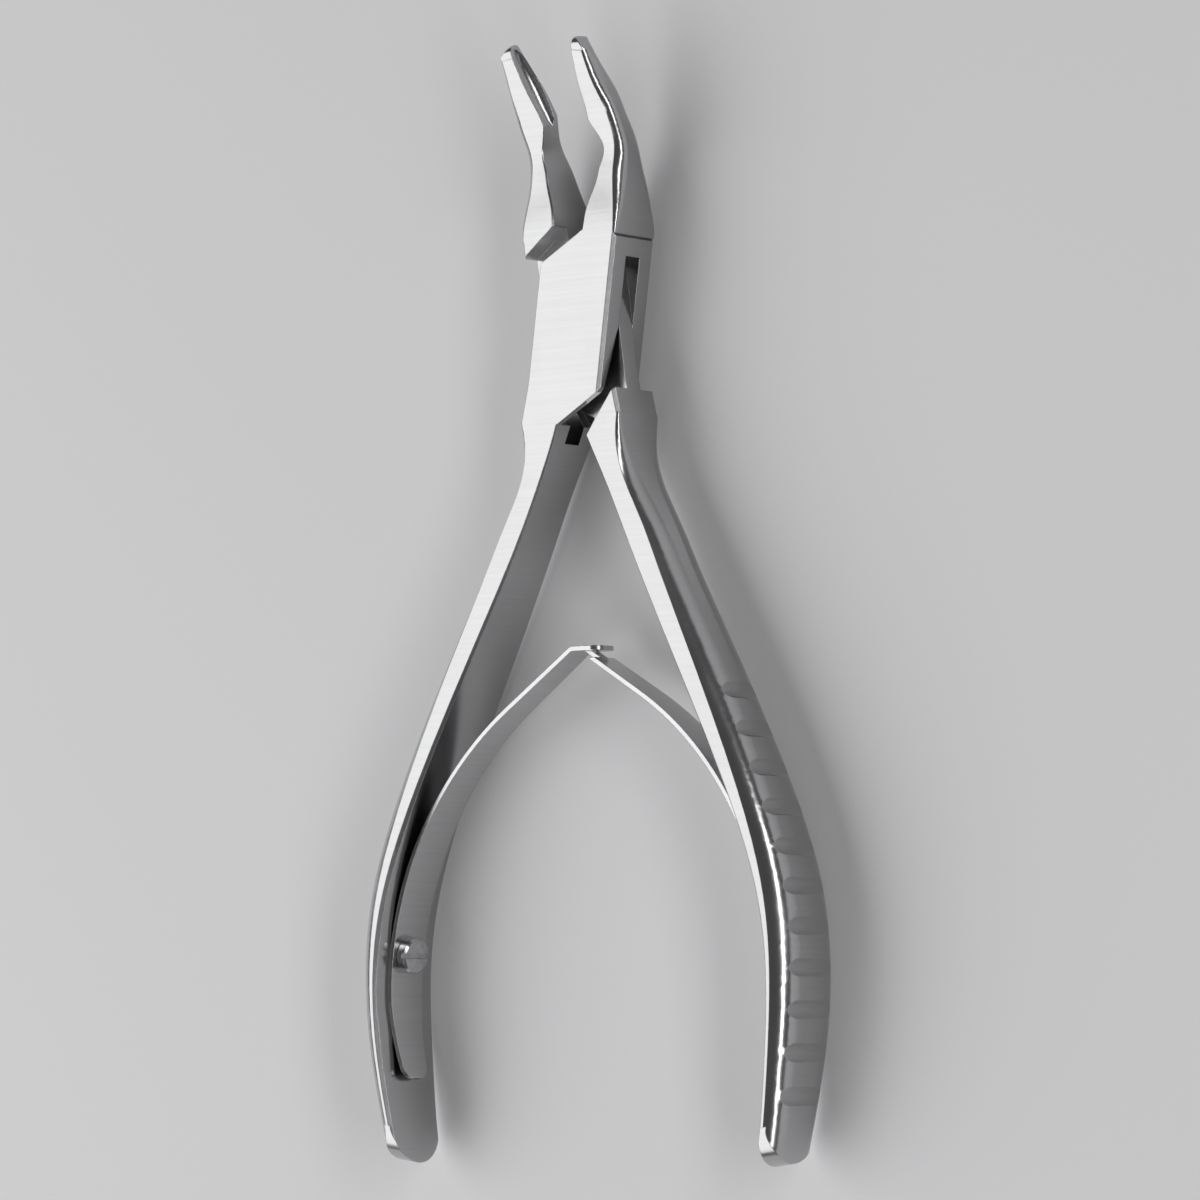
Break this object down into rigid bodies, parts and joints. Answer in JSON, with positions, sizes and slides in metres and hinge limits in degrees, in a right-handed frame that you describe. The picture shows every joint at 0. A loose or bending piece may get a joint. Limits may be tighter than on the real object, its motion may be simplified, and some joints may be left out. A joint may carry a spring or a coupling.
{
  "type": "bone rongeur",
  "caption": "Slender surgical bone rongeur with forward-curved cupped jaws, a box lock, bowed grooved handles and interlocking leaf springs that hold it open.",
  "frame": {"origin": "on the hinge axis at the back face of the box lock", "axes": "+Z along the hinge axis towards the side the jaws curve to, +Y along the instrument towards the jaw tips, +X towards the right jaw and right handle"},
  "size_m": [0.0756, 0.1537, 0.0162],
  "materials": {
    "satin_steel": "satin, fine brush lines across the length",
    "spring_steel": "satin rolled strip",
    "screw_steel": "turned, with a polished rim"
  },
  "bodies": {
    "female": {"female_half": "satin_steel", "pivot_pin": "satin_steel", "left_screw": "screw_steel"},
    "male": {"male_half": "satin_steel", "right_screw": "screw_steel"},
    "left_leaf": {"left_spring": "spring_steel"},
    "right_leaf": {"right_spring": "spring_steel"}
  },
  "joints": [
    {"name": "jaw_hinge", "type": "hinge", "parent": "female", "child": "male", "pos_m": [0, 0, 0.0044], "axis": [0, 0, -1], "range_deg": [0, 16], "stiffness_Nm_per_rad": 1.5, "springref_deg": -3.44},
    {"name": "left_flex", "type": "hinge", "parent": "female", "child": "left_leaf", "pos_m": [-0.022, -0.06, 0.0044], "axis": [0, 0, 1], "range_deg": [0, 15], "deforming": ["left_spring"]},
    {"name": "right_flex", "type": "hinge", "parent": "male", "child": "right_leaf", "pos_m": [0.022, -0.06, 0.0044], "axis": [0, 0, -1], "range_deg": [0, 15], "deforming": ["right_spring"]}
  ],
  "couplings": [
    {"joint": "left_flex", "follows": "jaw_hinge", "ratio": 0.87},
    {"joint": "right_flex", "follows": "jaw_hinge", "ratio": 0.87}
  ]
}
